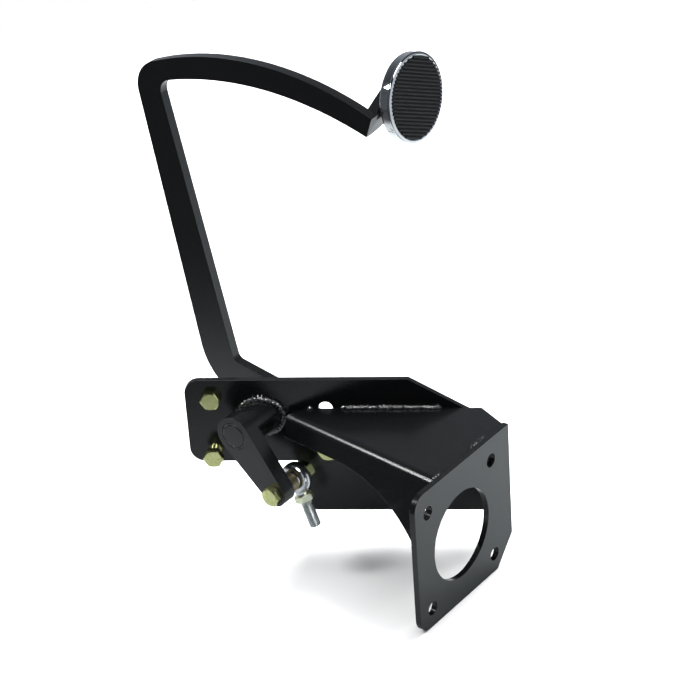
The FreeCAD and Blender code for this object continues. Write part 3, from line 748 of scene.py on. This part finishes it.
stem = bmesh.new()
thread(stem, ROD_PLACE @ Matrix.Rotation(math.pi, 4, "X"), STEM_START, ROD_LENGTH, FINE_PITCH, steps=40)
new_piece("rod_stem", stem, BRIGHT_STEEL, "rod_end", ("rod_end",))
# The jam nut's yellow zinc with light painted in.
hex_nut("jam_nut", ROD_PLACE @ JAM_NUT_PLACE, Matrix.Rotation(-ROD_HANG, 4, "Y"), JAM_NUT_HEIGHT, "rod_end",
        finish=LIT_YELLOW_ZINC)


# Pad

PAD_RADIUS = 33.7
RIM_INNER = 30.3
RUBBER_BACK = -4.9
RUBBER_RADIUS = RIM_INNER - 0.05
FLOOR_LEVEL = -0.8
RIB_PITCH = 2.66
RIB_REACH = 31.1
RIB_COUNT = int(RIB_REACH / RIB_PITCH)
RIB_END_SHARE = 0.72
RIB_TRIM = 0.35
RIB_STATIONS = [-1.0, -0.985, -0.95, -0.6, 0.0, 0.6, 0.95, 0.985, 1.0]
# Half of the pad's chrome cup as radius and height: inside, rim, side, back and boss
CUP = [
    (0, -5.0), (29.5, -5.0), (30.1, -4.8), (RIM_INNER, -4.3), (RIM_INNER, -0.9), (30.45, -0.4), (30.8, -0.12),
    (31.4, 0.0), (32.4, -0.04), (33.0, -0.25), (33.45, -0.65), (PAD_RADIUS, -1.2), (33.66, -1.75), (33.45, -2.15),
    (33.25, -2.4), (33.2, -2.8), (33.2, -8.0), (33.0, -8.9), (32.4, -9.9), (31.5, -10.6), (30.4, -11.0),
    (12.0, -11.0), (10.6, -11.25), (10.0, -11.9), (10.0, -15.5), (0, -15.5),
]
# Round-topped section of one rib, across it and out of the pad
SECTION = [
    (-0.98, -0.6), (-0.92, 0.05), (-0.78, 0.45), (-0.52, 0.70), (-0.2, 0.79), (0.2, 0.79), (0.52, 0.70),
    (0.78, 0.45), (0.92, 0.05), (0.98, -0.6),
]

shell = bmesh.new()
spun(shell, CUP, PAD_PLACE, steps=160)
new_piece("pad_shell_chromed", shell, CHROME, "pedal", ("pad_shell",), sharp=40.0)

ribs = bmesh.new()
spun(ribs, [(0, RUBBER_BACK), (RUBBER_RADIUS, RUBBER_BACK), (RUBBER_RADIUS, FLOOR_LEVEL), (0, FLOOR_LEVEL)],
     RIB_PLACE, steps=120)
for row in range(-RIB_COUNT, RIB_COUNT + 1):
    middle = row * RIB_PITCH
    half = math.sqrt(RIB_REACH ** 2 - (abs(middle) + RIB_TRIM) ** 2)
    sections = []
    for station in RIB_STATIONS:
        squeeze = RIB_END_SHARE if abs(station) == 1.0 else 1.0
        sections.append([
            ribs.verts.new(RIB_PLACE @ Vector((
                -middle - across * squeeze, half * station, out if out < 0 else out * squeeze)))
            for across, out in SECTION
        ])
    join_all(ribs, sections)
    ribs.faces.new(sections[0])
    ribs.faces.new(sections[-1])
new_piece("pad_rubber_ribbed", ribs, RUBBER, "pedal", ("pad_rubber",), sharp=50.0)


# Stage: floor, light and camera, in metres

FLOOR_Z = -0.0589
PAPER_RADIUS = 1.3
PAPER_WHITE = (0.95, 0.95, 0.95)
PAPER_TINT = (0.94, 1.0, 1.03)
# Painted shade and light on the paper, seen only where the object mirrors it: near black in front on the left and
# lightest behind, in place of uneven light on the floor.
PAINTED_PAPER_SHADE = [(-0.36, 0.04), (-0.25, 0.15), (-0.215, 0.26), (-0.17, 0.37), (0.03, 0.43), (0.16, 0.52)]
ROOM_TINT = (0.90, 0.98, 1.07)
WHITE = (1.0, 1.0, 1.0)
OBJECT_MIDDLE = Vector((-0.14, 0.0, 0.12))
LEVER_MIDDLE = Vector((-0.15, 0.0, 0.06))
CAMERA_LENS = 139.1
CAMERA_PLACE = (0.96790, -1.37694, 1.10888)
CAMERA_TURN = (60.8789, 3.5679, 35.8814)


def seen_by_camera(tree):
    return tree.nodes.new("ShaderNodeLightPath").outputs["Is Camera Ray"]


def paper_finish():
    """White paper to the camera, with the painted shade above where the object mirrors it."""
    finish, tree, shader = new_finish("studio_paper")
    axes = axes_of(tree, own_place(tree))
    rightward = calc(tree, "MAXIMUM", calc(tree, "SUBTRACT", axes["X"], 0.1), 0.0)
    leftward = calc(tree, "MINIMUM", calc(tree, "ADD", axes["X"], 0.32), 0.0)
    sideways = calc(tree, "ADD", calc(tree, "MULTIPLY", rightward, 1.5), calc(tree, "MULTIPLY", leftward, 0.4))
    reach = calc(tree, "ADD", axes["Y"], sideways)
    first, last = PAINTED_PAPER_SHADE[0][0], PAINTED_PAPER_SHADE[-1][0]
    # Painted shade: the paper's colour by place, for every ray but the camera's.
    ramp = tree.nodes.new("ShaderNodeValToRGB")
    stops = ramp.color_ramp.elements
    while len(stops) < len(PAINTED_PAPER_SHADE):
        stops.new(1.0)
    for stop, (spot, tone) in zip(stops, PAINTED_PAPER_SHADE):
        stop.position = (spot - first) / (last - first)
        stop.color = [tone * part for part in PAPER_TINT] + [1.0]
    tree.links.new(spread(tree, reach, first, last, 0.0, 1.0), ramp.inputs["Fac"])
    colour = blend_colours(tree, seen_by_camera(tree), ramp.outputs["Color"], PAPER_WHITE)
    tree.links.new(colour, shader.inputs["Base Color"])
    shader.inputs["Roughness"].default_value = 0.7
    shader.inputs["Specular IOR Level"].default_value = 0.1
    return finish


def paper_floor():
    work = bmesh.new()
    work.faces.new([work.verts.new(polar(PAPER_RADIUS, turn, FLOOR_Z)) for turn in full_turn(96)])
    mesh = bpy.data.meshes.new("studio_floor")
    work.to_mesh(mesh)
    work.free()
    mesh.materials.append(paper_finish())
    sheet = bpy.data.objects.new("studio_floor", mesh)
    bpy.context.scene.collection.objects.link(sheet)


def soft_light(name, place, size, power, aim=OBJECT_MIDDLE, mirrored=True, lights_matt=True):
    """Area light aimed at a point. It can be kept out of reflections, or show in reflections alone."""
    lamp = bpy.data.lights.new(name, "AREA")
    lamp.shape = "RECTANGLE"
    lamp.size, lamp.size_y = size
    lamp.energy = power
    holder = bpy.data.objects.new(name, lamp)
    holder.location = place
    holder.rotation_euler = (aim - Vector(place)).to_track_quat("-Z", "Y").to_euler()
    holder.visible_camera = False
    holder.visible_glossy = mirrored
    holder.visible_diffuse = lights_matt
    bpy.context.scene.collection.objects.link(holder)


def studio_room():
    """Grey walls, brightest behind on the left and low on the right, that the camera sees as white."""
    world = bpy.data.worlds.new("studio_room")
    world.use_nodes = True
    bpy.context.scene.world = world
    room = world.node_tree
    axes = axes_of(room, room.nodes.new("ShaderNodeTexCoord").outputs["Generated"])
    ahead = spread(room, axes["Y"], -0.35, 0.55, 0.12, 0.42)
    sideways = spread(room, axes["X"], -0.5, 0.45, 1.0, 0.25)
    right_wall = spread(room, axes["X"], 0.5, 0.8, 0.0, 0.8)
    upward = spread(room, axes["Z"], 0.15, 0.8, 1.0, 0.25)
    across = calc(room, "ADD", calc(room, "MULTIPLY", ahead, sideways), right_wall)
    walls = calc(room, "MULTIPLY", across, upward)
    seen = seen_by_camera(room)
    background = room.nodes["Background"]
    room.links.new(calc(room, "MAXIMUM", walls, seen), background.inputs["Strength"])
    room.links.new(blend_colours(room, seen, ROOM_TINT, WHITE), background.inputs["Color"])


def photo_camera():
    lens = bpy.data.cameras.new("photo_camera")
    lens.sensor_width = 36.0
    lens.lens = CAMERA_LENS
    camera = bpy.data.objects.new("photo_camera", lens)
    camera.location = CAMERA_PLACE
    camera.rotation_euler = [math.radians(a) for a in CAMERA_TURN]
    bpy.context.scene.collection.objects.link(camera)
    bpy.context.scene.camera = camera


paper_floor()
soft_light("overhead_softbox", (0.22, -0.02, 1.75), (1.0, 1.0), 26.0, lights_matt=False)
soft_light("left_softbox", (-0.74, -0.50, 0.80), (0.15, 0.21), 6.0, aim=LEVER_MIDDLE)
soft_light("back_softbox", (-0.30, 1.15, 1.40), (1.4, 1.4), 85.0, mirrored=False)
soft_light("fill_softbox", (-0.10, -0.10, 1.85), (3.0, 3.0), 48.0, mirrored=False)
studio_room()
photo_camera()
bpy.context.scene.view_settings.view_transform = "Standard"
